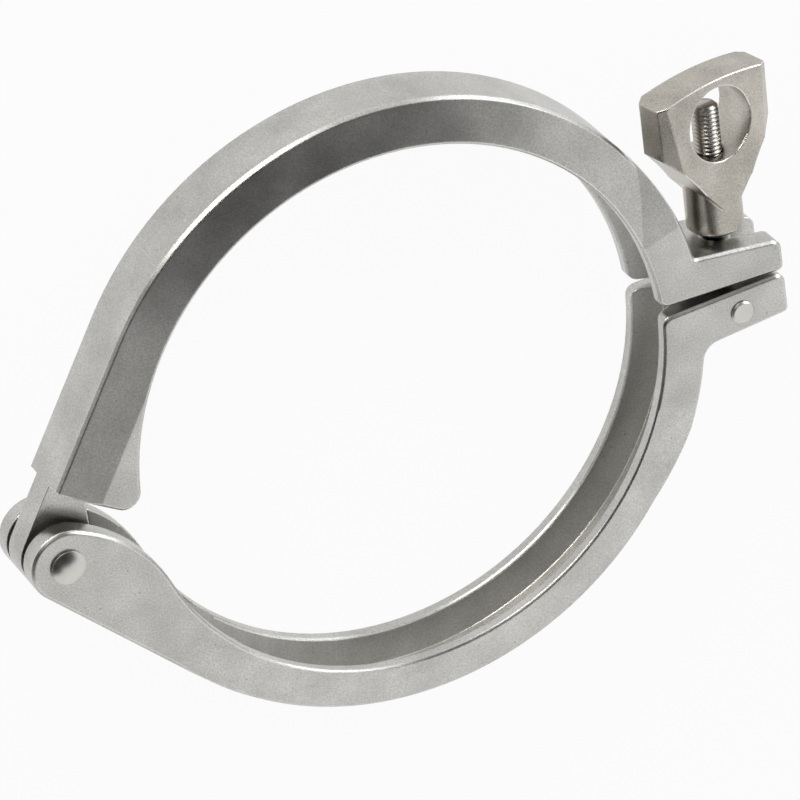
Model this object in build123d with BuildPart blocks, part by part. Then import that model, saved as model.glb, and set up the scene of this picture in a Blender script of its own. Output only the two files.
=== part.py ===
"""Sanitary hinged clamp, single hinge, for one pair of 6 inch class ferrules.

Two investment-cast halves close round the ferrules and draw them together with a V-groove.
They are hinged on a riveted pin at -X. At +X an eye bolt, riveted in the lower half's fork,
lies in the upper half's slot, and a cast wing nut on the bolt pulls the two lugs together.

Frame: the clamp lies flat, its ring axis is Z, the origin is the centre of the ring,
and the lugs part along +X. All sizes are in millimetres.
"""

from build123d import *
from math import acos, asin, atan2, cos, degrees, hypot, radians, sin, sqrt, tan
import os

# ---------------------------------------------------------------- ring section
rim_radius = 79.0  # inner land of both flanges
groove_depth = 8.5  # from the land down to the groove floor
web_thickness = 4.5  # wall behind the groove floor
body_width = 24.0  # over both flanges at the land, and over lugs and ears
web_width = 18.2  # over the web at its outer face, because the flange sides slope
mouth_width = 16.0  # groove between the two lands
wedge_angle = 20.0  # slope of each groove face, as on the ferrule's own flange
land_bevel = 0.8  # broken outer edges of the sides
mouth_bevel = 0.6  # broken edges of the lands towards the groove
web_bevel = 0.9  # broken outer corners of the web

# ---------------------------------------------------------------- hinge
hinge_offset = 11.0  # hinge pin outside the web, along -X
hinge_drop = 9.5  # hinge pin below the ring's centre line
knuckle_radius = 10.5  # round end of ears and tongue
hump_radius = 45.0  # ear's inner edge, from the knuckle to the rim
shoulder_reach = 18.6  # square end of the upper channel, measured from the knuckle
shoulder_round = 4.5  # corner of each upper flange at that end
tongue_width = 8.2
hub_radius = 8.0  # pads round the pin, on both sides of the tongue
hub_gap = 0.4  # play each side of the hub, between the ears
ear_thickness = 6.0
ear_slot_length = 19.0  # how far the slot between the ears runs past the pin
hinge_pin_radius = 4.0
hinge_head_radius = 5.0
hinge_head_height = 2.2
hinge_head_dome = 1.4  # rounded or bevelled part of that height

# ---------------------------------------------------------------- lugs
parting_height = 1.4  # middle of the gap between the lugs
gap_at_rim = 3.4
gap_at_end = 0.9
lug_overhang = 14.3  # both lugs beyond the bolt pin
upper_lug_top_end = 11.4  # top of the upper lug at its outer end
upper_lug_top_root = 14.8  # top of the upper lug where it meets the web
lower_lug_base_end = -11.6  # underside of the lower lug at its outer end
lower_lug_base_root = -13.7  # underside of the lower lug where it meets the web
lug_corner = 3.0
root_fillet = 5.5  # under the lower lug
slot_width = 9.4  # upper lug's slot for the bolt
fork_width = 9.0  # lower lug's slot for the bolt's eye
fork_depth = 10.6  # fork slot's closed end, inwards of the bolt pin
fade_slope = 7.0  # degrees, from the lugs' flat sides down to the sloping flanges
upper_fade_start = 17.0  # degrees round the ring
lower_fade_start = -20.0
ear_fade_start = 214.0

# ---------------------------------------------------------------- eye bolt and its pin
bolt_offset = 11.3  # bolt pin outside the web, along +X
bolt_drop = 6.7  # bolt pin below the ring's centre line
bolt_pin_radius = 3.0
bolt_head_radius = 3.5
bolt_head_height = 0.9
bolt_head_bevel = 0.5
bolt_lean = -1.2  # degrees from +Y, negative leans outwards
bolt_diameter = 7.8  # over the crests of an M8 thread
bolt_length = 61.0  # from the pin's axis to the tip
bolt_tip_chamfer = 1.0
eye_radius = 6.8
eye_width = 8.4

# ---------------------------------------------------------------- wing nut
nut_seat = 22.3  # bottom of the boss, from the bolt pin's axis along the bolt
boss_radius = 8.1
boss_bevel = 1.2
nut_height = 47.4
nut_turn = -12.5  # degrees that the wings are turned about the bolt
wing_span = 39.0
wing_end_height = 15.8
wing_end_thickness = 7.5
head_flat = 26.6  # length of the thick middle, along the wings
crown_drop = 2.2  # the top falls this much from the middle to the wing ends
flare_start = 15.5  # where the boss has widened to the wings
neck_width = 5.0  # the flat faces' lower end, low on the boss
neck_start = 8.5
face_draft = 4.8  # degrees, the head's flat faces thin it upwards from the flare
window_radius = 10.8
window_height = 34.4  # centre of the window above the boss's bottom
head_round = 0.6  # straight edges of the head
wing_hollow = 0.6  # depth of the hollow under each wing

# ---------------------------------------------------------------- fits
running_clearance = 0.08  # radial, pins and bolt in what turns on them

# ---------------------------------------------------------------- worked-out sizes
half_width = body_width / 2
floor_radius = rim_radius + groove_depth
band_radius = floor_radius + web_thickness
floor_half = mouth_width / 2 - groove_depth * tan(radians(wedge_angle))
ear_inner = half_width - ear_thickness
hinge_x, hinge_y = -band_radius - hinge_offset, -hinge_drop
bolt_pin_x, bolt_pin_y = band_radius + bolt_offset, -bolt_drop
lug_reach = bolt_pin_x + lug_overhang
reach_in = 0.8 * rim_radius  # cutters run this far in, well clear of every flange
over = 5.0  # cutters run this far past what they cut


def polar(radius, angle, centre=(0.0, 0.0)):
    """Point at a radius and an angle in degrees about a centre, in the XY plane."""
    return (
        centre[0] + radius * cos(radians(angle)),
        centre[1] + radius * sin(radians(angle)),
    )


# The web runs straight off the ring on both sides of the hinge, touching the knuckle's circle.
hinge_distance = hypot(hinge_x, hinge_y)
hinge_bearing = degrees(atan2(hinge_y, hinge_x)) % 360
tangent_turn = degrees(acos((band_radius - knuckle_radius) / hinge_distance))
tangent_length = sqrt(hinge_distance**2 - (band_radius - knuckle_radius) ** 2)
upper_bearing = hinge_bearing - tangent_turn
lower_bearing = hinge_bearing + tangent_turn
pin = (hinge_x, hinge_y)

# The ear's inner edge is an arc that touches the knuckle's circle and the rim's circle.
hump_from_pin = hump_radius - knuckle_radius
hump_from_axis = hump_radius + rim_radius
hump_corner = degrees(
    acos(
        (hinge_distance**2 + hump_from_pin**2 - hump_from_axis**2)
        / (2 * hinge_distance * hump_from_pin)
    )
)
hump_bearing = hinge_bearing - 180 - hump_corner
hump_centre = polar(hump_from_pin, hump_bearing, pin)
hump_rim_angle = degrees(atan2(hump_centre[1], hump_centre[0])) % 360


def along(angle):
    """Direction of travel round the ring at this angle, anticlockwise."""
    return (-sin(radians(angle)), cos(radians(angle)))


def shifted(point, direction, distance):
    """A point moved by a distance along a direction in the XY plane."""
    return (point[0] + direction[0] * distance, point[1] + direction[1] * distance)


def gap_half(x):
    """Half the gap between the lugs, which narrows from the rim to the lugs' ends."""
    share = (x - rim_radius) / (lug_reach - rim_radius)
    return (gap_at_rim + (gap_at_end - gap_at_rim) * share) / 2


def ring_plane(angle):
    """Plane through the ring axis: its x runs outwards, and its y is the ring axis."""
    travel = along(angle)
    return Plane(origin=(0, 0, 0), x_dir=(*polar(1, angle), 0), z_dir=(-travel[0], -travel[1], 0))


def groove_section(angle, broken=True):
    """The V-groove's section: floor, two wedge faces, and a clear run to the inside.

    The broken one also breaks the two lands' edges, where it stands wider than the mouth.
    """
    skin = rim_radius - (0.02 if broken else 0)  # just clear of the lands
    mouth = mouth_width / 2 + (2 * mouth_bevel if broken else 0)
    with BuildSketch(ring_plane(angle)) as section:
        with BuildLine():
            Polyline(
                (floor_radius, -floor_half),
                (floor_radius, floor_half),
                (skin, mouth_width / 2),
                *([(skin, mouth)] if broken else []),
                (reach_in, mouth),
                (reach_in, -mouth),
                *([(skin, -mouth)] if broken else []),
                (skin, -mouth_width / 2),
                close=True,
            )
        make_face()
        if broken:
            for side in (1, -1):
                corner = (skin, side * mouth_width / 2)
                chamfer(section.vertices().sort_by_distance(corner)[0], mouth_bevel)
    return section.sketch


def side_section(angle, side):
    """Section of what a sloping flange side leaves out, on the upper (1) or lower (-1) side.

    It turns round the web's outer corner, so it breaks that corner too.
    """
    slope = (half_width - web_width / 2) / (band_radius - rim_radius)
    skin = band_radius + 0.04  # just clear of the web's own outer face
    corner = (skin, side * (half_width - slope * (skin - rim_radius)))
    low = side * (web_width / 2 - 2 * web_bevel)
    high = side * (half_width + over)
    with BuildSketch(ring_plane(angle)) as section:
        with BuildLine():
            Polyline(
                (rim_radius, side * half_width),
                corner,
                (skin, low),
                (band_radius + over, low),
                (band_radius + over, high),
                (rim_radius, high),
                close=True,
            )
        make_face()
        chamfer(section.vertices().sort_by_distance(corner)[0], web_bevel)
    return section.sketch


def fade_plane(angle, away, side):
    """Falls from the flat side at an angle round the ring, towards away (1 or -1)."""
    travel = along(angle)
    lean = sin(radians(fade_slope)) * away
    normal = (travel[0] * lean, travel[1] * lean, side * cos(radians(fade_slope)))
    return Plane(origin=(*polar(rim_radius, angle), side * half_width), z_dir=normal)


def side_relief(start, stop, straight, fades):
    """What the sloping flange sides leave out, round the ring and along a straight run."""
    reliefs = []
    for side in (1, -1):
        with BuildPart() as relief:
            revolve(side_section(start, side), axis=Axis.Z, revolution_arc=stop - start)
            if straight:
                extrude(side_section(stop, side), amount=-straight)
            for angle, away in fades:
                split(bisect_by=fade_plane(angle, away, side), keep=Keep.TOP)
        reliefs.append(relief.part)
    return reliefs


# ---------------------------------------------------------------- outline points
upper_tangent = polar(band_radius, upper_bearing)
lower_tangent = polar(band_radius, lower_bearing)
upper_straight = tangent_length - shoulder_reach
lower_straight = tangent_length - ear_slot_length
shoulder = shifted(upper_tangent, along(upper_bearing), upper_straight)
shoulder_in = shifted(shoulder, polar(1, upper_bearing), reach_in - band_radius)
shoulder_at_rim = shifted(
    shoulder, polar(1, upper_bearing), sqrt(rim_radius**2 - upper_straight**2) - band_radius
)
upper_root = polar(band_radius, degrees(asin(upper_lug_top_root / band_radius)))
lower_root = polar(band_radius, degrees(asin(lower_lug_base_root / band_radius)))
upper_rim_end = (rim_radius, parting_height + gap_at_rim / 2)
lower_rim_end = (rim_radius, parting_height - gap_at_rim / 2)
hump_at_rim = polar(rim_radius, hump_rim_angle)
hump_at_knuckle = polar(knuckle_radius, hump_bearing + 180, pin)
bolt_centre = (bolt_pin_x, bolt_pin_y)


def flat_edges(piece, height):
    """Edges that lie wholly at this distance above or below the middle plane."""
    return piece.edges().filter_by(
        lambda edge: all(abs(abs(edge.position_at(t).Z) - height) < 0.01 for t in (0, 0.5, 1))
    )


def slot_section(closed_end, width):
    """A lug's slot seen along Y: open outwards, with a round closed end."""
    with BuildSketch(Plane.XZ) as section:
        with Locations((closed_end + width / 2, 0)):
            Circle(width / 2)
        with Locations(((closed_end + width / 2 + lug_reach + over) / 2, 0)):
            Rectangle(lug_reach + over - closed_end - width / 2, width)
    return section.sketch


# ---------------------------------------------------------------- upper half
upper_reliefs = side_relief(
    upper_fade_start, upper_bearing, upper_straight + over, [(upper_fade_start, 1)]
)

with BuildPart() as upper_half:
    # Channel and lug: everything from the parting face round to the square shoulder.
    with BuildSketch() as upper_face:
        with BuildLine():
            Polyline(
                upper_root,
                (lug_reach, upper_lug_top_end),
                (lug_reach, parting_height + gap_half(lug_reach)),
                (reach_in, parting_height + gap_half(reach_in)),
                (0, 0),
                shoulder_in,
                shoulder,
                upper_tangent,
            )
            RadiusArc(upper_tangent, upper_root, band_radius)
        make_face()
        Circle(rim_radius, mode=Mode.SUBTRACT)
        for corner, radius in (
            ((lug_reach, upper_lug_top_end), lug_corner),
            ((lug_reach, parting_height), lug_corner / 2),
            (upper_root, lug_corner / 2),
            (upper_rim_end, lug_corner),
            (shoulder_at_rim, shoulder_round),
        ):
            fillet(upper_face.vertices().sort_by_distance(corner)[0], radius)
    extrude(amount=half_width, both=True)
    groove = groove_section(-over)
    revolve(groove, axis=Axis.Z, revolution_arc=upper_bearing + over, mode=Mode.SUBTRACT)
    groove = groove_section(upper_bearing, broken=False)
    extrude(groove, amount=-upper_straight - over, mode=Mode.SUBTRACT)
    chamfer(flat_edges(upper_half, half_width), land_bevel)
    add(upper_reliefs, mode=Mode.SUBTRACT)

    # Tongue: a flat tab from the web down to the pin, with a round end.
    tongue_root = shifted(shoulder, along(upper_bearing), -over)
    inner_x = hinge_x + knuckle_radius
    floor_y = (floor_radius - inner_x * cos(radians(upper_bearing))) / sin(radians(upper_bearing))
    web_mid = shifted((inner_x, floor_y), polar(1, upper_bearing), web_thickness / 2)
    with BuildSketch():
        with BuildLine():
            Polyline(
                polar(knuckle_radius, upper_bearing, pin),
                tongue_root,
                web_mid,
                (inner_x, floor_y),
                (inner_x, hinge_y),
                pin,
                close=True,
            )
        make_face()
        with Locations(pin):
            Circle(knuckle_radius)
    extrude(amount=tongue_width / 2, both=True)
    with Locations(pin):
        Cylinder(hub_radius, 2 * (ear_inner - hub_gap))
        Cylinder(hinge_pin_radius + running_clearance, body_width, mode=Mode.SUBTRACT)
    slot = slot_section(bolt_pin_x - slot_width / 2, slot_width)
    extrude(slot, amount=band_radius / 2, both=True, mode=Mode.SUBTRACT)

# ---------------------------------------------------------------- lower half
lower_reliefs = side_relief(
    ear_fade_start, 360 + lower_fade_start, 0, [(ear_fade_start, 1), (lower_fade_start, -1)]
)

with BuildPart() as lower_half:
    # Channel, lug and ears in one outline; the ears' inner edge humps over the pin.
    with BuildSketch() as lower_face:
        with BuildLine():
            Polyline(
                lower_root,
                (lug_reach, lower_lug_base_end),
                (lug_reach, parting_height - gap_half(lug_reach)),
                (reach_in, parting_height - gap_half(reach_in)),
                (0, 0),
                hump_at_rim,
            )
            RadiusArc(hump_at_rim, hump_at_knuckle, -hump_radius)
            RadiusArc(hump_at_knuckle, polar(knuckle_radius, lower_bearing, pin), -knuckle_radius)
            Line(polar(knuckle_radius, lower_bearing, pin), lower_tangent)
            RadiusArc(lower_tangent, lower_root, -band_radius)
        make_face()
        Circle(rim_radius, mode=Mode.SUBTRACT)
        for corner, radius in (
            ((lug_reach, lower_lug_base_end), lug_corner / 2),
            ((lug_reach, parting_height), lug_corner),
            (lower_root, root_fillet),
            (lower_rim_end, lug_corner),
        ):
            fillet(lower_face.vertices().sort_by_distance(corner)[0], radius)
    extrude(amount=half_width, both=True)
    groove = groove_section(lower_bearing)
    revolve(groove, axis=Axis.Z, revolution_arc=360 + over - lower_bearing, mode=Mode.SUBTRACT)
    groove = groove_section(lower_bearing, broken=False)
    extrude(groove, amount=lower_straight, mode=Mode.SUBTRACT)
    chamfer(flat_edges(lower_half, half_width), land_bevel)
    add(lower_reliefs, mode=Mode.SUBTRACT)

    # Slot between the ears for the tongue.
    slot_end = shifted(pin, along(lower_bearing), ear_slot_length)
    slot_start = shifted(pin, along(lower_bearing), -knuckle_radius - over)
    wide = hump_radius
    with BuildSketch():
        with BuildLine():
            Polyline(
                shifted(slot_start, polar(1, lower_bearing), wide),
                shifted(slot_end, polar(1, lower_bearing), wide),
                shifted(slot_end, polar(1, lower_bearing), -wide),
                shifted(slot_start, polar(1, lower_bearing), -wide),
                close=True,
            )
        make_face()
    extrude(amount=ear_inner, both=True, mode=Mode.SUBTRACT)
    slot = slot_section(bolt_pin_x - fork_depth, fork_width)
    extrude(slot, amount=band_radius / 2, both=True, mode=Mode.SUBTRACT)
    with Locations(pin):
        Cylinder(hinge_pin_radius, body_width + over, mode=Mode.SUBTRACT)
    with Locations(bolt_centre):
        Cylinder(bolt_pin_radius, body_width + over, mode=Mode.SUBTRACT)


# ---------------------------------------------------------------- riveted pins
def rivet_outline(radius, head_radius, head_height, rise, domed):
    """Half section of a pin through both sides, with a low head at each end.

    The upper head is domed or bevelled. The lower one, closed in fitting, is bevelled.
    """
    top = half_width + head_height
    if domed:
        dome_radius = (head_radius**2 + rise**2) / (2 * rise)
        RadiusArc((0, top), (head_radius, top - rise), dome_radius)
    else:
        Polyline((0, top), (head_radius - rise, top), (head_radius, top - rise))
    Polyline(
        (head_radius, top - rise),
        (head_radius, half_width),
        (radius, half_width),
        (radius, -half_width),
        (head_radius, -half_width),
        (head_radius, rise - top),
        (head_radius - rise, -top),
        (0, -top),
        (0, top),
    )


with BuildPart() as hinge_pin:
    with BuildSketch(Plane(origin=(*pin, 0), x_dir=(1, 0, 0), z_dir=(0, -1, 0))):
        with BuildLine():
            rivet_outline(
                hinge_pin_radius, hinge_head_radius, hinge_head_height, hinge_head_dome, True
            )
        make_face()
    revolve(axis=Axis((*pin, 0), (0, 0, 1)))

with BuildPart() as bolt_pin:
    with BuildSketch(Plane(origin=(*bolt_centre, 0), x_dir=(1, 0, 0), z_dir=(0, -1, 0))):
        with BuildLine():
            rivet_outline(bolt_pin_radius, bolt_head_radius, bolt_head_height, bolt_head_bevel, False)
        make_face()
    revolve(axis=Axis((*bolt_centre, 0), (0, 0, 1)))

# ---------------------------------------------------------------- eye bolt
bolt_way = (-sin(radians(bolt_lean)), cos(radians(bolt_lean)), 0)
bolt_plane = Plane(origin=(*bolt_centre, 0), x_dir=(0, 0, 1), z_dir=bolt_way)

with BuildPart() as eye_bolt:
    with BuildSketch(bolt_plane):
        Circle(bolt_diameter / 2)
    extrude(amount=bolt_length)
    chamfer(eye_bolt.faces().sort_by(Axis.Y)[-1].edges(), bolt_tip_chamfer)
    with BuildSketch(Plane.XY.offset(-eye_width / 2)):
        with Locations(bolt_centre):
            Circle(eye_radius)
    extrude(amount=eye_width)
    with Locations(bolt_centre):
        Cylinder(bolt_pin_radius + running_clearance, body_width, mode=Mode.SUBTRACT)

# ---------------------------------------------------------------- wing nut
seat = tuple(Vector(*bolt_centre, 0) + Vector(*bolt_way) * nut_seat)
turn = radians(nut_turn)
side_way = Vector(*bolt_way).cross(Vector(0, 0, 1))
wing_way = side_way * cos(turn) + Vector(0, 0, 1) * sin(turn)
nut_plane = Plane(origin=seat, x_dir=tuple(wing_way), z_dir=bolt_way)
face_way = Vector(*bolt_way).cross(wing_way)
front_plane = Plane(origin=seat, x_dir=tuple(wing_way), z_dir=tuple(-face_way))

head_thickness = 2 * boss_radius + 0.1  # the boss stays just inside the head's flat faces
end = wing_span / 2
shoulder_top = nut_height - crown_drop
shoulder_low = shoulder_top - wing_end_height


def sweep_arc(side):
    """Underside of a wing, hollowed from the end's lower corner down to the boss."""
    low, high = (boss_radius, flare_start), (end - 0.4, shoulder_low)
    middle = ((low[0] + high[0]) / 2 - wing_hollow, (low[1] + high[1]) / 2 + wing_hollow / 2)
    ThreePointArc(
        (side * low[0], low[1]), (side * middle[0], middle[1]), (side * high[0], high[1])
    )


nut_axis = Axis(seat, bolt_way)

with BuildPart() as wing_nut:
    # Head seen square on: a crowned top, short upright ends and flanks that sweep down.
    with BuildSketch(front_plane):
        with BuildLine():
            ThreePointArc((-end, shoulder_top), (0, nut_height), (end, shoulder_top))
            Line((end, shoulder_top), (end - 0.4, shoulder_low))
            sweep_arc(1)
            Polyline((boss_radius, flare_start), (neck_width / 2, neck_start),
                     (-neck_width / 2, neck_start), (-boss_radius, flare_start))
            sweep_arc(-1)
            Line((-end + 0.4, shoulder_low), (-end, shoulder_top))
        make_face()
    extrude(amount=head_thickness / 2, both=True)
    # Head seen from above: thick in the middle, thinner towards the wing ends.
    with BuildSketch(nut_plane):
        with BuildLine():
            Polyline(
                (-end, -wing_end_thickness / 2),
                (-head_flat / 2, -head_thickness / 2),
                (head_flat / 2, -head_thickness / 2),
                (end, -wing_end_thickness / 2),
                (end, wing_end_thickness / 2),
                (head_flat / 2, head_thickness / 2),
                (-head_flat / 2, head_thickness / 2),
                (-end, wing_end_thickness / 2),
                close=True,
            )
        make_face()
    extrude(amount=nut_height + over, mode=Mode.INTERSECT)
    # The flat faces lean in, so the head thins towards its top.
    for side in (1, -1):
        low = Vector(*seat) + Vector(*bolt_way) * flare_start + face_way * side * head_thickness / 2
        inwards = face_way * (-side * cos(radians(face_draft)))
        split(
            bisect_by=Plane(
                origin=tuple(low),
                z_dir=tuple(inwards - Vector(*bolt_way) * sin(radians(face_draft))),
            ),
            keep=Keep.TOP,
        )
    fillet(wing_nut.edges().filter_by(GeomType.LINE), head_round)
    with BuildSketch(nut_plane):
        Circle(boss_radius)
    extrude(amount=flare_start)
    chamfer(wing_nut.faces().sort_by(nut_axis)[0].edges(), boss_bevel)
    with BuildSketch(front_plane):
        with Locations((0, window_height)):
            Circle(window_radius)
    extrude(amount=head_thickness, both=True, mode=Mode.SUBTRACT)
    with BuildSketch(nut_plane):
        Circle(bolt_diameter / 2 + running_clearance)
    extrude(amount=window_height, mode=Mode.SUBTRACT)

# ---------------------------------------------------------------- files
upper_half.part.label = "upper_half"
lower_half.part.label = "lower_half"
hinge_pin.part.label = "hinge_pin"
bolt_pin.part.label = "bolt_pin"
eye_bolt.part.label = "eye_bolt"
wing_nut.part.label = "wing_nut"

os.makedirs("parts", exist_ok=True)
export_step(upper_half.part, "parts/upper_half.step")
export_step(lower_half.part, "parts/lower_half.step")
export_step(hinge_pin.part, "parts/hinge_pin.step")
export_step(bolt_pin.part, "parts/bolt_pin.step")
export_step(eye_bolt.part, "parts/eye_bolt.step")
export_step(wing_nut.part, "parts/wing_nut.step")
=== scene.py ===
# %% [markdown]
# # A sanitary hinged clamp in Blender
# The clamp holds the ferrules of two tubes together. It is two investment-cast stainless halves,
# a riveted hinge, an eye bolt and a wing nut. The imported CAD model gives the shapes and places,
# so this script adds what CAD leaves out: the cut thread of the bolt, the finish of each casting,
# the floor, the lights and the camera.

# %% Load the frame
import math

import bmesh
import bpy
from mathutils import Matrix, Vector


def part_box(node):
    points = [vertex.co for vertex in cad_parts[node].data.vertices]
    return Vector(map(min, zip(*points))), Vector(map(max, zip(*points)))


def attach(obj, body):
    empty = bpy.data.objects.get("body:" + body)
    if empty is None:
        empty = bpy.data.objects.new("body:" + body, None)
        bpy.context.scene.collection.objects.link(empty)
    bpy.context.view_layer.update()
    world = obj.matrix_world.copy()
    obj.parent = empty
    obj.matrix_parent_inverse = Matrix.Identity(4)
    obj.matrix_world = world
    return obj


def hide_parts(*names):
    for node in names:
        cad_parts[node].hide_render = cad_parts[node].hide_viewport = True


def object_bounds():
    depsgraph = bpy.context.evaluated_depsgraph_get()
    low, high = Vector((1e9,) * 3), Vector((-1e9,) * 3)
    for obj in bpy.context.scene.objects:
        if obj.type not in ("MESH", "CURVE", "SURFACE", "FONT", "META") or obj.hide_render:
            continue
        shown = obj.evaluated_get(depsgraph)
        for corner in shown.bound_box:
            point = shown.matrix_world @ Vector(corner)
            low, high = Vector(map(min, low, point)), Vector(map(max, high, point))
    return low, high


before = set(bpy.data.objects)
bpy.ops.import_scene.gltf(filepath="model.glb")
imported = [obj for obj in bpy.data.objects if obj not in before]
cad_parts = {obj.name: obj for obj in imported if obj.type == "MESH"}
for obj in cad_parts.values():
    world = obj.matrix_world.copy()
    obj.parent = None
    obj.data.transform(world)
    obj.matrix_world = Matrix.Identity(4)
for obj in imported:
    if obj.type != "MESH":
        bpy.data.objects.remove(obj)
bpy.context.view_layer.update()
MM = 0.001  # the frame is in metres

# %% [markdown]
# ## Colours and nodes
# Colours are written as the hex values that a paint program shows. Blender's shaders add up
# light, so they need linear numbers, and one function turns each hex value into those.
# A second one adds a node, sets it and links it in one line. A Mix node has sockets for
# numbers and for colours under the same names, so its sockets are picked by their numbers.


# %% Helpers for colours and nodes
COLOUR_A, COLOUR_B, COLOUR_OUT = 6, 7, 2  # a Mix node's sockets for colours
NUMBER_A, NUMBER_B, NUMBER_OUT = 2, 3, 0  # and those for numbers


def linear(hex_colour):
    """Turns an sRGB hex colour such as 'B4B2AE' into Blender's linear RGBA."""
    parts = [int(hex_colour[i : i + 2], 16) / 255 for i in (0, 2, 4)]
    return [p / 12.92 if p <= 0.04045 else ((p + 0.055) / 1.055) ** 2.4 for p in parts] + [1.0]


def add_node(tree, kind, inputs=None, **settings):
    """Adds one node: settings by name, and inputs as values or as the sockets that feed them."""
    node = tree.nodes.new(kind)
    for name, value in settings.items():
        setattr(node, name, value)
    for name, value in (inputs or {}).items():
        if isinstance(value, bpy.types.NodeSocket):
            tree.links.new(value, node.inputs[name])
        else:
            node.inputs[name].default_value = value
    return node


print("B4B2AE is", [round(part, 3) for part in linear("B4B2AE")], "in linear light")

# %% [markdown]
# ## Where the groove is
# The ferrules sit in a V-groove inside the ring. Blasting hardly reaches into it, so it stays
# as cast, rougher than the outside. It could be a material slot of its own, but each half is
# one mesh with one slot. So the finish finds the groove by its place: nearer the ring's axis
# than the groove's floor, and lower than the lands on both sides of its mouth.


# %% A mask for the groove
GROOVE_FLOOR = 87.5 * MM  # radius
GROOVE_MOUTH = 16 * MM
MASK_RADIUS = GROOVE_FLOOR + 1.5 * MM  # a little into the metal behind the floor
MASK_HEIGHT = GROOVE_MOUTH / 2 + 0.1 * MM


def groove_mask(tree, place):
    """A value that is 1 inside the V-groove and 0 elsewhere."""
    where = add_node(tree, "ShaderNodeSeparateXYZ", {"Vector": place}).outputs
    flat = add_node(tree, "ShaderNodeCombineXYZ", {"X": where["X"], "Y": where["Y"]})
    radius = add_node(tree, "ShaderNodeVectorMath", {0: flat.outputs["Vector"]},
                      operation="LENGTH").outputs["Value"]
    inwards = add_node(tree, "ShaderNodeMath", {0: radius, 1: MASK_RADIUS},
                       operation="LESS_THAN").outputs["Value"]
    height = add_node(tree, "ShaderNodeMath", {0: where["Z"]},
                      operation="ABSOLUTE").outputs["Value"]
    between = add_node(tree, "ShaderNodeMath", {0: height, 1: MASK_HEIGHT},
                       operation="LESS_THAN").outputs["Value"]
    return add_node(tree, "ShaderNodeMath", {0: inwards, 1: between},
                    operation="MULTIPLY").outputs["Value"]


print("the groove's finish reaches out to radius", round(MASK_RADIUS / MM, 1), "mm")

# %% [markdown]
# ## The skin of a casting
# Sanitary clamps are investment cast in 304 stainless and then bead blasted or tumbled. The
# skin is a pale, slightly warm grey, a little cloudy where the blasting was uneven, with fine
# grains and here and there a pit. An image could hold all that, but noise made from the
# place on the piece needs no unwrapping and has no seams. The grain is a tenth of a
# millimetre on the real casting, which no view from a step away can show, so it is drawn at
# half a millimetre.


# %% Clouds, grains and pits
CLOUD = 14 * MM
PIT_SPACING = 4.5 * MM
PIT_RADIUS, PIT_RIM = 0.03, 0.08  # shares of the spacing
GRAIN_DARK, GRAIN_LIGHT = 0.76, 1.14  # the grains multiply the colour by these
NOISE_LOW, NOISE_HIGH = 0.3, 0.7  # a noise stays between these nearly everywhere
GROOVE_SCATTER = 0.12  # share of the groove's colour that its rough skin scatters
AS_CAST = "F2F1EC"
# The pits are painted darker in this colour, as painted shade in their hollows.
PIT_SHADE_COLOUR = "9A9894"


def blasted_skin(tree, place, in_groove, light, dark, grain):
    """The skin's colour, its clouds as a value from 0 to 1, and the height of its relief."""
    clouds = add_node(tree, "ShaderNodeTexNoise", {
        "Vector": place, "Scale": 1 / CLOUD, "Detail": 4.0, "Roughness": 0.5})
    grains = add_node(tree, "ShaderNodeTexNoise", {
        "Vector": place, "Scale": 1 / (grain * MM), "Detail": 2.0, "Roughness": 0.6})
    pits = add_node(tree, "ShaderNodeTexVoronoi", {
        "Vector": place, "Scale": 1 / PIT_SPACING}, feature="F1")
    pit_mask = add_node(tree, "ShaderNodeMapRange", {
        "Value": pits.outputs["Distance"], "From Min": PIT_RADIUS, "From Max": PIT_RIM,
        "To Min": 1.0, "To Max": 0.0}).outputs["Result"]

    mottle = add_node(tree, "ShaderNodeMapRange", {
        "Value": clouds.outputs["Fac"], "From Min": NOISE_LOW,
        "From Max": NOISE_HIGH}).outputs["Result"]
    base = add_node(tree, "ShaderNodeMix", {
        "Factor": mottle, COLOUR_A: linear(dark), COLOUR_B: linear(light)}, data_type="RGBA")
    speckle = add_node(tree, "ShaderNodeMapRange", {
        "Value": grains.outputs["Fac"], "From Min": NOISE_LOW, "From Max": NOISE_HIGH,
        "To Min": GRAIN_DARK, "To Max": GRAIN_LIGHT})
    grained = add_node(tree, "ShaderNodeMix", {
        "Factor": 1.0, COLOUR_A: base.outputs[COLOUR_OUT], COLOUR_B: speckle.outputs["Result"]},
        data_type="RGBA", blend_type="MULTIPLY")
    scatter = add_node(tree, "ShaderNodeMath", {0: in_groove, 1: GROOVE_SCATTER},
                       operation="MULTIPLY")
    cast = add_node(tree, "ShaderNodeMix", {
        "Factor": scatter.outputs["Value"], COLOUR_A: grained.outputs[COLOUR_OUT],
        COLOUR_B: linear(AS_CAST)}, data_type="RGBA")
    # Each pit is painted darker: painted shade in its hollow, on top of its dent in the relief.
    pitted_and_shaded = add_node(tree, "ShaderNodeMix", {
        "Factor": pit_mask, COLOUR_A: cast.outputs[COLOUR_OUT], COLOUR_B: linear(PIT_SHADE_COLOUR)},
        data_type="RGBA")
    relief = add_node(tree, "ShaderNodeMath", {0: grains.outputs["Fac"], 1: pit_mask},
                      operation="SUBTRACT")
    return pitted_and_shaded.outputs[COLOUR_OUT], mottle, relief.outputs["Value"]


print("clouds", round(CLOUD / MM, 1), "mm wide, pits", round(PIT_SPACING / MM, 1), "mm apart")

# %% [markdown]
# ## Worn edges and their painted highlight
# Handling and tumbling polish a casting's edges, which shine as thin bright lines. They could
# be painted on a texture, or cut as narrow bevels in the mesh. Here the Bevel node finds them:
# it rounds the shading normal near an edge, and where the rounded normal leaves the true one,
# the metal is made smoother, as real polish is, and its colour brighter, a painted highlight.


# %% A mask for worn edges and their painted highlight
WORN_LIT_FROM, WORN_LIT_FULL = 0.975, 0.85  # cosines of the angle between the two normals


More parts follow.
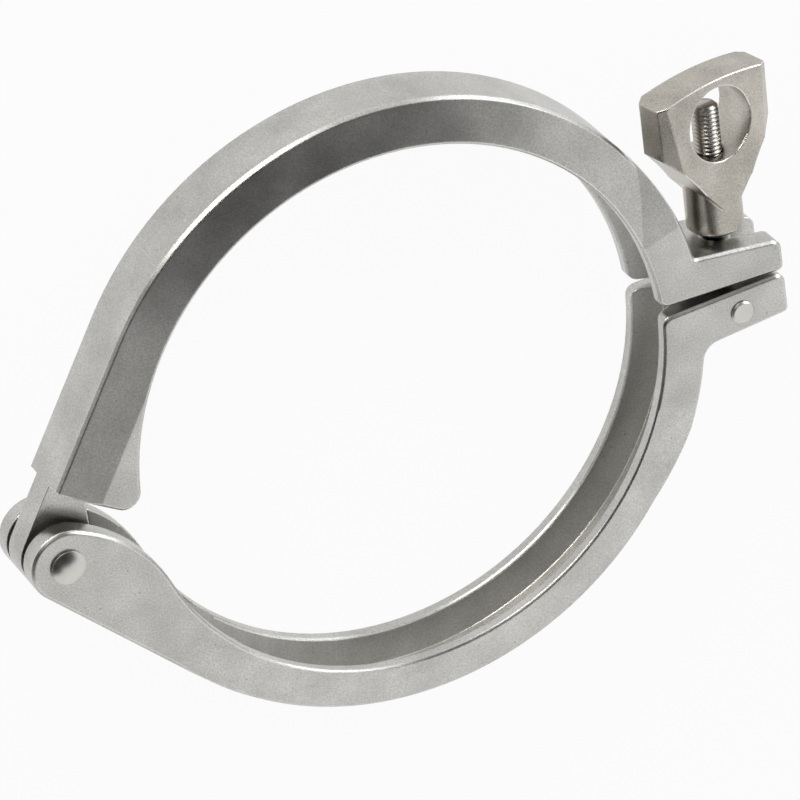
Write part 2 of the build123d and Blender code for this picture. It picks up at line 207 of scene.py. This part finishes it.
def worn_and_lit_edges(tree, edge_radius):
    """The normal rounded over the edges, and a value that is 1 along a worn edge, for its polish
    and its painted highlight.
    """
    round_normal = add_node(
        tree, "ShaderNodeBevel", {"Radius": edge_radius * MM}, samples=6).outputs["Normal"]
    true_normal = add_node(tree, "ShaderNodeNewGeometry").outputs["True Normal"]
    turn = add_node(tree, "ShaderNodeVectorMath", {0: round_normal, 1: true_normal},
                    operation="DOT_PRODUCT")
    worn_and_lit = add_node(tree, "ShaderNodeMapRange", {
        "Value": turn.outputs["Value"], "From Min": WORN_LIT_FROM, "From Max": WORN_LIT_FULL})
    return round_normal, worn_and_lit.outputs["Result"]


print("an edge is worn from", round(math.degrees(math.acos(WORN_LIT_FROM))), "degrees of turn")

# %% [markdown]
# ## Cast stainless steel
# The halves are bead blasted, which scatters light in small grains, so highlights are broad.
# The wing nut is tumbled among stones, which leaves it a little warmer, smoother and with
# rounder edges. Both are bare metal, so they are fully metallic and keep a metal's own IOR.


# %% Blasted and tumbled castings
GROOVE_ROUGHNESS = 0.5
ROUGHNESS_SPREAD = 0.02  # between the clouds
EDGE_POLISH = 0.6  # a worn edge keeps this share of the skin's roughness


def cast_stainless(name, light, dark, edge, roughness, grain=0.5, edge_radius=0.7):
    """A blasted or tumbled casting. Sizes are in millimetres, colours are hex. The edge colour is
    a painted highlight along the worn edges.
    """
    material = bpy.data.materials.new(name)
    material.use_nodes = True
    tree = material.node_tree
    tree.nodes.clear()
    place = add_node(tree, "ShaderNodeTexCoord").outputs["Object"]
    in_groove = groove_mask(tree, place)
    skin, mottle, relief = blasted_skin(tree, place, in_groove, light, dark, grain)
    round_normal, worn_and_lit = worn_and_lit_edges(tree, edge_radius)

    # Worn edges are painted in the brighter edge colour: a painted highlight.
    coloured = add_node(tree, "ShaderNodeMix", {
        "Factor": worn_and_lit, COLOUR_A: skin, COLOUR_B: linear(edge)}, data_type="RGBA")
    rough = add_node(tree, "ShaderNodeMapRange", {
        "Value": mottle, "To Min": roughness - ROUGHNESS_SPREAD,
        "To Max": roughness + ROUGHNESS_SPREAD})
    rough_cast = add_node(tree, "ShaderNodeMix", {
        "Factor": in_groove, NUMBER_A: rough.outputs["Result"], NUMBER_B: GROOVE_ROUGHNESS},
        data_type="FLOAT")
    rough_worn = add_node(tree, "ShaderNodeMix", {
        "Factor": worn_and_lit, NUMBER_A: rough_cast.outputs[NUMBER_OUT],
        NUMBER_B: roughness * EDGE_POLISH}, data_type="FLOAT")
    bump = add_node(tree, "ShaderNodeBump", {
        "Strength": 0.35, "Distance": 0.04 * MM, "Height": relief, "Normal": round_normal})
    shader = add_node(tree, "ShaderNodeBsdfPrincipled", {
        "Base Color": coloured.outputs[COLOUR_OUT], "Metallic": 1.0,
        "Roughness": rough_worn.outputs[NUMBER_OUT], "Normal": bump.outputs["Normal"]})
    add_node(tree, "ShaderNodeOutputMaterial", {"Surface": shader.outputs["BSDF"]})
    print("material", name, "with", len(tree.nodes), "nodes")
    return material


# The third colour of each is the painted highlight along the worn edges.
blasted_castings = cast_stainless(
    "blasted_cast_stainless", "CBCAC6", "B4B3AF", "FAF8F4", roughness=0.3)
tumbled_casting = cast_stainless(
    "tumbled_cast_stainless", "C6C1B8", "A6A299", "F2F0EC", roughness=0.27, edge_radius=0.9)

# %% [markdown]
# ## Turned and rolled stainless
# Pins and bolts are made from drawn bar. Their skin is smoother than a casting's, so it mirrors
# more and its highlights are narrower. The lathe and the thread rolls leave marks a few
# hundredths of a millimetre wide. Rings swept round the bar would show them one by one, but
# from a step away they only roughen the shine, so fine noise 0.3 mm wide stands for them.


# %% Drawn bar
SMEAR = 4 * MM  # width of the smears that handling leaves


def drawn_bar(name, colour, dull_colour, roughness, mark=0.3):
    """Smooth bar stock with fine tool marks. The marks' width is in millimetres."""
    material = bpy.data.materials.new(name)
    material.use_nodes = True
    tree = material.node_tree
    tree.nodes.clear()
    place = add_node(tree, "ShaderNodeTexCoord").outputs["Object"]
    marks = add_node(tree, "ShaderNodeTexNoise", {
        "Vector": place, "Scale": 1 / (mark * MM), "Detail": 1.0})
    smears = add_node(tree, "ShaderNodeTexNoise", {
        "Vector": place, "Scale": 1 / SMEAR, "Detail": 3.0})
    tint = add_node(tree, "ShaderNodeMix", {
        "Factor": smears.outputs["Fac"], COLOUR_A: linear(dull_colour),
        COLOUR_B: linear(colour)}, data_type="RGBA")
    rough = add_node(tree, "ShaderNodeMapRange", {
        "Value": smears.outputs["Fac"], "To Min": roughness - 0.06, "To Max": roughness + 0.08})
    round_normal = add_node(
        tree, "ShaderNodeBevel", {"Radius": 0.25 * MM}, samples=4).outputs["Normal"]
    bump = add_node(tree, "ShaderNodeBump", {
        "Strength": 0.2, "Distance": 0.02 * MM, "Height": marks.outputs["Fac"],
        "Normal": round_normal})
    shader = add_node(tree, "ShaderNodeBsdfPrincipled", {
        "Base Color": tint.outputs[COLOUR_OUT], "Metallic": 1.0,
        "Roughness": rough.outputs["Result"], "Normal": bump.outputs["Normal"]})
    add_node(tree, "ShaderNodeOutputMaterial", {"Surface": shader.outputs["BSDF"]})
    print("material", name, "with", len(tree.nodes), "nodes")
    return material


turned_rivets = drawn_bar("turned_stainless_rivets", "DAD8D4", "BFBCB6", roughness=0.3)
rolled_bolt = drawn_bar("rolled_stainless_bolt", "CBC8C2", "9C9993", roughness=0.26)

# %% [markdown]
# ## Finishes on the castings and rivets
# The halves, the wing nut and the two rivets have the right shapes already, down to their
# rivet heads. Modelling them again would only bring differences, so each keeps its CAD mesh,
# and only the material in its slot changes.

# %% Give the CAD nodes their finishes
finishes = {
    "upper_half": blasted_castings,
    "lower_half": blasted_castings,
    "wing_nut": tumbled_casting,
    "hinge_pin": turned_rivets,
    "bolt_pin": turned_rivets,
}
for node_name, material in finishes.items():
    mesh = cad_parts[node_name].data
    mesh.materials.clear()
    mesh.materials.append(material)
    print(node_name, len(mesh.polygons), "triangles,", material.name)

# %% [markdown]
# ## The bolt's place
# The bolt is the one part whose CAD node is too plain, because its thread is left off there.
# It swings on the small rivet in the lower lug, so its place comes from that rivet's box. It
# leans outwards by the same 1.2 degrees as in the CAD model, so it runs through the nut's middle.

# %% Sizes of the bolt
pin_low, pin_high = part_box("bolt_pin")
bolt_centre = (Vector(pin_low) + Vector(pin_high)) / 2
EYE_RADIUS = 6.8 * MM
EYE_WIDTH = 8.4 * MM
EYE_CORNER = 0.8 * MM
PIN_HOLE = 3.08 * MM  # radius
CREST_RADIUS = 3.9 * MM
PITCH = 1.25 * MM
THREAD_DEPTH = 0.61 * MM
BAR_START = 3 * MM  # from the pin's axis, inside the eye
PLAIN_LENGTH = 22 * MM
BOLT_LENGTH = 61 * MM
TIP_TAPER = 1.1 * MM
BOLT_LEAN = math.radians(1.2)
bolt_way = Vector((math.sin(BOLT_LEAN), math.cos(BOLT_LEAN), 0))
print("bolt centre, mm:", [round(c / MM, 2) for c in bolt_centre])

# %% [markdown]
# ## The bolt's thread
# The bolt has a rolled M8 thread, which turns once in 1.25 mm. A thread could be a profile swept
# along a helix, but then its ridge only rests on a bar. Here Geometry Nodes roll a flat grid
# into a tube and move each point in or out by where it is in the turn, as thread rolling does,
# so the thread and its bar are one closed skin. The sizes are the tree's named inputs.


# %% A tree that rolls a threaded bar
AROUND, LENGTHWISE = 41, 561  # points of the grid: a ring of 40 faces, about 12 rings a turn
FLANK_SLOPE = 2.4  # leaves a flat crest a sixth of the pitch wide
END_SHARE = 0.0005  # less than the share of the length between two rings
MERGE_DISTANCE = 0.002 * MM


def threaded_bar_tree(material):
    """Geometry Nodes: a bar along +Z from the origin, plain first, then threaded to its tip."""
    tree = bpy.data.node_groups.new("threaded_bar", "GeometryNodeTree")
    tree.interface.new_socket("Geometry", in_out="OUTPUT", socket_type="NodeSocketGeometry")
    sizes = {
        "Start": BAR_START, "Length": BOLT_LENGTH, "Plain length": PLAIN_LENGTH,
        "Crest radius": CREST_RADIUS, "Thread depth": THREAD_DEPTH, "Pitch": PITCH,
        "Tip taper": TIP_TAPER,
    }
    for name, value in sizes.items():
        socket = tree.interface.new_socket(name, in_out="INPUT", socket_type="NodeSocketFloat")
        socket.default_value = value
    given = add_node(tree, "NodeGroupInput").outputs
    grid = add_node(tree, "GeometryNodeMeshGrid", {
        "Size X": 1.0, "Size Y": 1.0, "Vertices X": AROUND, "Vertices Y": LENGTHWISE})

    def calc(operation, *values):
        return add_node(tree, "ShaderNodeMath", dict(enumerate(values)),
                        operation=operation).outputs["Value"]

    # The grid is 1 by 1 round the origin: X goes round the bar and Y goes along it.
    point = add_node(tree, "ShaderNodeSeparateXYZ", {
        "Vector": add_node(tree, "GeometryNodeInputPosition").outputs["Position"]}).outputs
    share_round = calc("ADD", point["X"], 0.5)
    share_along = calc("ADD", point["Y"], 0.5)
    run = calc("SUBTRACT", given["Length"], given["Start"])
    height = calc("ADD", given["Start"], calc("MULTIPLY", share_along, run))

    # Where this point is within its turn: 0 and 1 at the root, 0.5 at the crest.
    turns = calc("DIVIDE", height, given["Pitch"])
    phase = calc("FRACT", calc("ADD", turns, share_round))
    ridge = calc("PINGPONG", phase, 0.5)
    flank = calc("MINIMUM", calc("MULTIPLY", ridge, FLANK_SLOPE), 1.0)
    fade = add_node(tree, "ShaderNodeMapRange", {
        "Value": height, "From Min": given["Plain length"],
        "From Max": calc("ADD", given["Plain length"], given["Pitch"])}).outputs["Result"]
    cut = calc("MULTIPLY", calc("SUBTRACT", 1.0, flank),
               calc("MULTIPLY", fade, given["Thread depth"]))
    radius = calc("SUBTRACT", given["Crest radius"], cut)

    # The tip is turned to a cone, so that the nut starts easily.
    to_tip = calc("SUBTRACT", given["Length"], height)
    tip_limit = calc("ADD", calc("SUBTRACT", given["Crest radius"], given["Tip taper"]), to_tip)
    radius = calc("MINIMUM", radius, tip_limit)

    # The first and last rings close on the axis, so the bar has ends.
    inside = calc("MULTIPLY", calc("GREATER_THAN", share_along, END_SHARE),
                  calc("LESS_THAN", share_along, 1 - END_SHARE))
    radius = calc("MULTIPLY", radius, inside)
    angle = calc("MULTIPLY", share_round, 2 * math.pi)
    place = add_node(tree, "ShaderNodeCombineXYZ", {
        "X": calc("MULTIPLY", radius, calc("COSINE", angle)),
        "Y": calc("MULTIPLY", radius, calc("SINE", angle)), "Z": height})
    rolled = add_node(tree, "GeometryNodeSetPosition", {
        "Geometry": grid.outputs["Mesh"], "Position": place.outputs["Vector"]})
    merged = add_node(tree, "GeometryNodeMergeByDistance", {
        "Geometry": rolled.outputs["Geometry"], "Distance": MERGE_DISTANCE})
    real = add_node(tree, "GeometryNodeRealizeInstances", {
        "Geometry": merged.outputs["Geometry"]})
    finished = add_node(tree, "GeometryNodeSetMaterial", {
        "Geometry": real.outputs["Geometry"], "Material": material})
    add_node(tree, "NodeGroupOutput", {"Geometry": finished.outputs["Geometry"]})
    print("thread tree with", len(tree.nodes), "nodes and inputs", ", ".join(sizes))
    return tree


# %% [markdown]
# ## From a tree to a mesh
# A tree needs an object to run on. An empty carrier does, and once its result is kept as an
# ordinary mesh, the carrier and its modifier go. The bar is made along Z, which keeps the
# tree simple, and is turned onto the bolt's direction afterwards, in its mesh.


# %% The threaded bar
def plain_mesh(tree, name):
    """Runs a tree on an empty carrier and keeps its result as an ordinary mesh."""
    carrier = bpy.data.objects.new(name + "_carrier", bpy.data.meshes.new(name + "_empty"))
    bpy.context.scene.collection.objects.link(carrier)
    carrier.modifiers.new("made", "NODES").node_group = tree
    evaluated = carrier.evaluated_get(bpy.context.evaluated_depsgraph_get())
    mesh = bpy.data.meshes.new_from_object(evaluated)
    mesh.name = name
    bpy.data.objects.remove(carrier)
    print(name, len(mesh.vertices), "points,", len(mesh.polygons), "faces")
    return mesh


bar = plain_mesh(threaded_bar_tree(rolled_bolt), "threaded_bar")
upright = bolt_way.to_track_quat("Z", "Y").to_matrix().to_4x4()
bar.transform(Matrix.Translation(bolt_centre) @ upright)

# %% [markdown]
# ## The bolt's eye
# The bar ends in a forged eye that turns on the small rivet. Its rim is rounded by forging.
# A torus would be too round and a drilled cylinder too sharp, so a section with softened outer
# corners is turned round the pin.


# %% The eye
CORNER_STEPS = 4
EYE_SEGMENTS = 64


def ring_round_pin(inner, outer, width, corner):
    """A closed ring about the Z axis with quarter-round outer corners."""
    half = width / 2
    past = outer - corner  # the corner arcs' centres, out and up
    above = half - corner
    section = [(inner, -half)]
    for side in (-1, 1):
        for step in range(CORNER_STEPS + 1):
            turn = math.radians(90 * step / CORNER_STEPS)
            across, up = math.cos(turn), math.sin(turn)
            if side < 0:
                across, up = up, across
            section.append((past + corner * across, side * (above + corner * up)))
    section.append((inner, half))
    mesh = bmesh.new()
    rings = []
    for k in range(EYE_SEGMENTS):
        a = 2 * math.pi * k / EYE_SEGMENTS
        rings.append([mesh.verts.new((r * math.cos(a), r * math.sin(a), z)) for r, z in section])
    for k in range(EYE_SEGMENTS):
        here, there = rings[k], rings[(k + 1) % EYE_SEGMENTS]
        for i in range(len(section)):
            j = (i + 1) % len(section)
            mesh.faces.new((here[i], there[i], there[j], here[j]))
    bmesh.ops.recalc_face_normals(mesh, faces=mesh.faces)
    return mesh


shape = ring_round_pin(PIN_HOLE, EYE_RADIUS, EYE_WIDTH, EYE_CORNER)
bmesh.ops.translate(shape, verts=shape.verts, vec=bolt_centre)
eye = bpy.data.meshes.new("bolt_eye")
shape.to_mesh(eye)
shape.free()
print("eye with", len(eye.polygons), "faces")

# %% [markdown]
# ## The bolt joins the clamp
# Both pieces ride on the bolt's body, so they swing with it, and together they stand for the
# plain CAD bolt, which is hidden.

# %% Bar and eye ride on the bolt
for name, mesh in (("bolt_thread", bar), ("bolt_eye", eye)):
    mesh.materials.clear()
    mesh.materials.append(rolled_bolt)
    mesh.shade_smooth()
    piece = bpy.data.objects.new(name, mesh)
    bpy.context.scene.collection.objects.link(piece)
    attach(piece, "bolt")
    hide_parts("eye_bolt")
    print(name, "rides on the bolt")

# %% [markdown]
# ## Floor and room
# The clamp lies on plain pale paper. Metal shows what is round it, so the room is white where
# the camera and the metal's reflections look. More light would whiten the background too, but
# it would also bleach the metal. Here the paper and the room glow at a strength of exactly
# white for those rays alone, and the lamps are left to light the clamp. A small share of the
# paper's look stays ordinary paper, which takes the clamp's soft shadow.


# %% A glow for rays that look
FLOOR_GLOW = 0.94  # share of the floor's look that is plain white, the rest takes shadows
AMBIENT_STRENGTH = 0.45


def seen_directly(tree):
    """1 for rays from the camera and for reflections and glass, else 0."""
    path = add_node(tree, "ShaderNodeLightPath").outputs
    either = add_node(tree, "ShaderNodeMath", {
        0: path["Is Camera Ray"], 1: path["Is Glossy Ray"]}, operation="MAXIMUM")
    return add_node(tree, "ShaderNodeMath", {
        0: either.outputs["Value"], 1: path["Is Transmission Ray"]},
        operation="MAXIMUM").outputs["Value"]


paper = bpy.data.materials.new("white_paper_floor")
paper.use_nodes = True
tree = paper.node_tree
tree.nodes.clear()
matt = add_node(tree, "ShaderNodeBsdfDiffuse", {"Color": linear("FAFAF9")})
glow = add_node(tree, "ShaderNodeEmission", {"Color": linear("FFFFFF"), "Strength": 1.0})
share = add_node(tree, "ShaderNodeMath", {0: seen_directly(tree), 1: FLOOR_GLOW},
                 operation="MULTIPLY")
mixed = add_node(tree, "ShaderNodeMixShader", {
    0: share.outputs["Value"], 1: matt.outputs["BSDF"], 2: glow.outputs["Emission"]})
add_node(tree, "ShaderNodeOutputMaterial", {"Surface": mixed.outputs["Shader"]})

world = bpy.data.worlds.new("studio")
bpy.context.scene.world = world
world.use_nodes = True
tree = world.node_tree
tree.nodes.clear()
ambient = add_node(tree, "ShaderNodeBackground", {
    "Color": linear("E8ECF0"), "Strength": AMBIENT_STRENGTH})
white = add_node(tree, "ShaderNodeBackground", {"Color": linear("FFFFFF"), "Strength": 1.0})
room = add_node(tree, "ShaderNodeMixShader", {
    0: seen_directly(tree), 1: ambient.outputs["Background"],
    2: white.outputs["Background"]})
add_node(tree, "ShaderNodeOutputWorld", {"Surface": room.outputs["Shader"]})
print("paper and room made")

# %% [markdown]
# The floor is one large square, level with the lowest point of the clamp, so that the rivets'
# heads rest on it.

# %% The floor
FLOOR_REACH = 3.0  # metres each way
low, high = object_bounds()
floor_mesh = bpy.data.meshes.new("floor")
floor_mesh.from_pydata(
    [(-FLOOR_REACH, -FLOOR_REACH, low[2]), (FLOOR_REACH, -FLOOR_REACH, low[2]),
     (FLOOR_REACH, FLOOR_REACH, low[2]), (-FLOOR_REACH, FLOOR_REACH, low[2])],
    [], [(0, 1, 2, 3)])
floor_mesh.materials.append(paper)
floor = bpy.data.objects.new("floor", floor_mesh)
bpy.context.scene.collection.objects.link(floor)
print("floor at", round(low[2] / MM, 1), "mm")

# %% [markdown]
# ## Lamps
# Two large soft boxes stand low, one on the camera's side and one past the bolt. Small lamps
# would draw hard highlights on the castings, and the large ones give each edge a soft, wide
# shine instead.


# %% Two soft boxes
def softbox(name, place, size, power, colour, target=(0, 0, 0)):
    """A rectangular area lamp that faces a point."""
    lamp = bpy.data.lights.new(name, "AREA")
    lamp.shape = "RECTANGLE"
    lamp.size, lamp.size_y = size
    lamp.energy = power
    lamp.color = linear(colour)[:3]
    holder = bpy.data.objects.new(name, lamp)
    holder.location = place
    holder.rotation_euler = (Vector(target) - Vector(place)).to_track_quat("-Z", "Y").to_euler()
    bpy.context.scene.collection.objects.link(holder)
    print(name, "soft box,", power, "watts")


softbox("key", (-0.6, 1.5, 0.5), (1.4, 0.5), 13, "FFFDF8")
softbox("fill", (1.3, 0.9, 0.5), (0.8, 0.5), 6, "F6FAFF")

# %% [markdown]
# ## A black flag
# Polished metal in an all-white room looks flat, so a studio hangs a black flag where the metal
# would mirror too much white. This one hangs above the ring. The slanting sides mirror it and
# turn dark, while the flat lugs beside them stay light. Its outline follows the points where
# the reflection of each face would meet it: the edge runs between the faces that should be
# dark and those that should be light. It is left out of the camera's view, casts no shadow and
# takes no light from the floor.

# %% The flag
FLAG_HEIGHT = 1.6
OUTLINE_HEIGHT = 1.5  # the outline's corners are given for a flag at this height
flag_outline = [(1.3, 4.0), (1.2, -0.2), (0.7, -0.25), (0.3, -0.36), (-0.03, -0.45),
                (-0.3, -0.34), (-0.42, -0.84), (-0.9, -1.15), (-4.5, -3.3), (-4.5, 4.0)]
flag_scale = FLAG_HEIGHT / OUTLINE_HEIGHT
flag_mesh = bpy.data.meshes.new("black_flag")
flag_mesh.from_pydata([(x * flag_scale, y * flag_scale, FLAG_HEIGHT) for x, y in flag_outline],
                      [], [tuple(range(len(flag_outline)))])
flag = bpy.data.objects.new("black_flag", flag_mesh)
bpy.context.scene.collection.objects.link(flag)
flag.visible_camera = flag.visible_diffuse = flag.visible_shadow = False
flag.visible_transmission = False
cloth = bpy.data.materials.new("black_flag_cloth")
cloth.use_nodes = True
cloth.node_tree.nodes.clear()
dim = add_node(cloth.node_tree, "ShaderNodeEmission", {
    "Color": linear("1E1E20"), "Strength": 1.0})
add_node(cloth.node_tree, "ShaderNodeOutputMaterial", {"Surface": dim.outputs["Emission"]})
flag_mesh.materials.append(cloth)
print("flag with", len(flag_outline), "corners,", FLAG_HEIGHT, "m up")

# %% [markdown]
# ## Camera
# The camera stands back on a long lens, above the hinge and the upper half, so the ring is seen
# as a slanting oval with its lugs at the upper right. Aiming it at a point would level its
# horizon. It is rolled here, so its three axes are given instead and made square to each other.

# %% The camera
LENS = 296.03  # millimetres, on a sensor 36 wide
CAMERA_PLACE = Vector((-0.557961, 0.925889, 1.439244))
view = bpy.data.cameras.new("camera")
view.sensor_width = 36.0
view.lens = LENS
view.clip_end = 20
camera = bpy.data.objects.new("camera", view)
right = Vector((0.8935, -0.1273, 0.4306)).normalized()
forward = Vector((0.3113, -0.5154, -0.7984)).normalized()
up = right.cross(forward).normalized()
right = forward.cross(up)
camera.matrix_world = Matrix.Translation(CAMERA_PLACE) @ Matrix(
    (right, up, -forward)).transposed().to_4x4()
bpy.context.scene.collection.objects.link(camera)
bpy.context.scene.camera = camera
bpy.context.scene.view_settings.view_transform = "Standard"
print("camera", round(CAMERA_PLACE.length, 2), "m from the ring's centre")
